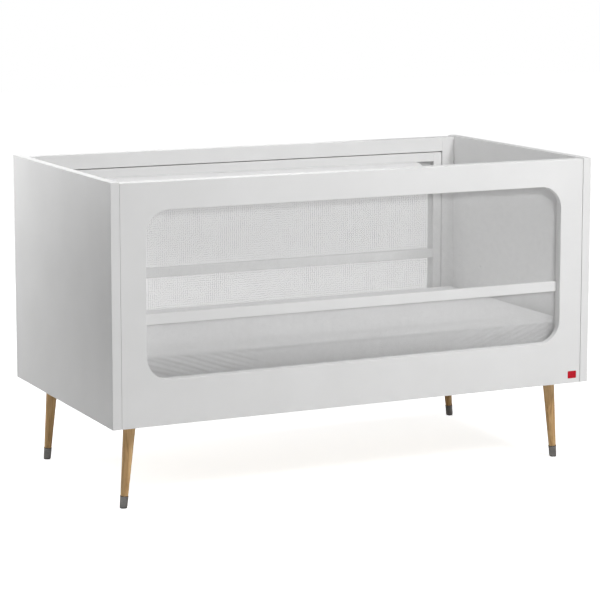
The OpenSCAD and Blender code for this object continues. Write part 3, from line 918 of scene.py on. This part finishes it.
def carried_over():
    """Gives every CAD node that still shows the finish of its slot."""
    for node_name, obj in frame["nodes"].items():
        if obj.hide_render or obj.type != "MESH":
            continue
        for holder in obj.material_slots:
            slot = next((name for name in FINISHES
                         if holder.material and holder.material.name.startswith(name)), None)
            if slot is None:
                raise ValueError(f"{node_name} has no finish for {holder.material}")
            holder.material = FINISHES[slot]


# ---- studio --------------------------------------------------------------

def floor():
    """A pale floor that reads as white paper."""
    corners = [(x * FLOOR_HALF, y * FLOOR_HALF, 0) for x, y in ((-1, -1), (1, -1), (1, 1), (-1, 1))]
    mesh = mesh_of("floor", corners, [(0, 1, 2, 3)])
    made = bpy.data.objects.new("floor", mesh)
    bpy.context.scene.collection.objects.link(made)
    paper, tree, shader = material("floor_paper", roughness=0.9, Specular_IOR_Level=0.1)
    points = place(tree)
    colour_between(tree, shader, clouds(tree, points, 30, detail=3),
                   [(0.3, (0.84, 0.84, 0.84)), (0.7, (0.86, 0.86, 0.86))])
    glow = node(tree, "ShaderNodeEmission", {"Color": (1, 1, 1, 1)})
    apart = node(tree, "ShaderNodeVectorMath", operation="LENGTH")
    tree.links.new(points, apart.inputs[0])
    nearer = node(tree, "ShaderNodeMapRange",
                  {"From Min": 0.6, "From Max": 2.0, "To Min": 0.78, "To Max": 1.05})
    tree.links.new(apart.outputs["Value"], nearer.inputs["Value"])
    tree.links.new(nearer.outputs["Result"], glow.inputs["Strength"])
    path = node(tree, "ShaderNodeLightPath")
    dark = node(tree, "ShaderNodeEmission", {"Strength": 0.0})
    either = node(tree, "ShaderNodeMixShader")
    both = node(tree, "ShaderNodeAddShader")
    tree.links.new(path.outputs["Is Camera Ray"], either.inputs["Fac"])
    tree.links.new(dark.outputs["Emission"], either.inputs[1])
    tree.links.new(glow.outputs["Emission"], either.inputs[2])
    tree.links.new(shader.outputs["BSDF"], both.inputs[0])
    tree.links.new(either.outputs["Shader"], both.inputs[1])
    tree.links.new(both.outputs["Shader"], tree.nodes["Material Output"].inputs["Surface"])
    mesh.materials.append(paper)
    made.location.z = -FLOOR_DROP


def soft_light(name, location, size, power, aim):
    """A large square lamp that faces a point."""
    lamp = bpy.data.lights.new(name, "AREA")
    lamp.shape = "SQUARE"
    lamp.size = size
    lamp.energy = power
    made = bpy.data.objects.new(name, lamp)
    made.location = location
    made.rotation_euler = (Vector(aim) - Vector(location)).to_track_quat("-Z", "Y").to_euler()
    made.visible_camera = False
    bpy.context.scene.collection.objects.link(made)


def around(azimuth, elevation, distance):
    a, e = math.radians(azimuth), math.radians(elevation)
    return Vector((math.sin(a) * math.cos(e), -math.cos(a) * math.cos(e), math.sin(e))) * distance + MIDDLE


MIDDLE = Vector((0, 0, 0.5))
LAMPS = (
    # name, location, size, watts, aim
    ("lamp_key", around(25, 35, 3.6), 0.9, 58.7, MIDDLE),
    ("lamp_top", (0, 0, 3.6), 2.4, 54.5, (0, 0, 0)),
    ("lamp_front_left", around(-20, 20, 3.6), 1.8, 10.5, MIDDLE),
    ("lamp_high_left", around(-25, 35, 3.6), 0.9, 5.2, MIDDLE),
    ("lamp_high", around(0, 60, 3.2), 0.7, 3.2, MIDDLE),
    ("lamp_near_right", (1.6, -1.6, 1.5), 0.8, 3.6, (0.5, -0.38, 0.6)),
    ("lamp_near_left", (-1.6, 0.5, 1.6), 0.5, 3.3, (-0.72, 0.2, 0.8)),
    ("lamp_near_back", (-1.5, 0.9, 0.9), 0.6, 5.8, (-0.72, 0.35, 0.7)),
    ("lamp_near_high", (-1.25, 0.75, 1.3), 0.5, 1.3, (-0.72, 0.35, 0.8)),
    ("lamp_legs", (2.6, -0.9, 0.12), 0.22, 1.5, (0.0, -0.3, 0.12)),
    ("lamp_behind", around(165, 22, 3.6), 1.8, 16.0, MIDDLE),
)


def studio():
    """Floor, lamps and a sky that the camera sees as white, and that lights nothing."""
    floor()
    for name, location, size, power, aim in LAMPS:
        soft_light(name, location, size, power, aim)
    world = bpy.data.worlds.new("studio")
    world.use_nodes = True
    tree = world.node_tree
    unlit = tree.nodes["Background"]
    unlit.inputs["Strength"].default_value = 0.0
    seen = node(tree, "ShaderNodeBackground", {"Color": (1, 1, 1, 1), "Strength": 1.0})
    path = node(tree, "ShaderNodeLightPath")
    either = node(tree, "ShaderNodeMixShader")
    tree.links.new(path.outputs["Is Camera Ray"], either.inputs["Fac"])
    tree.links.new(unlit.outputs[0], either.inputs[1])
    tree.links.new(seen.outputs[0], either.inputs[2])
    tree.links.new(either.outputs[0], tree.nodes["World Output"].inputs["Surface"])
    bpy.context.scene.world = world


def camera():
    """The photograph's viewpoint."""
    data = bpy.data.cameras.new("camera")
    data.lens = CAMERA_LENS
    data.sensor_width = 36
    data.shift_y = CAMERA_SHIFT
    made = bpy.data.objects.new("camera", data)
    made.location = CAMERA_PLACE
    made.rotation_euler = (math.radians(90 - CAMERA_DOWN), 0, math.radians(-CAMERA_TO_RIGHT))
    bpy.context.scene.collection.objects.link(made)
    bpy.context.scene.camera = made


bpy.context.scene.view_settings.view_transform = "Standard"
camera()
studio()
end_panels()
long_sides()
nets()
tag()
mattress()
carried_over()
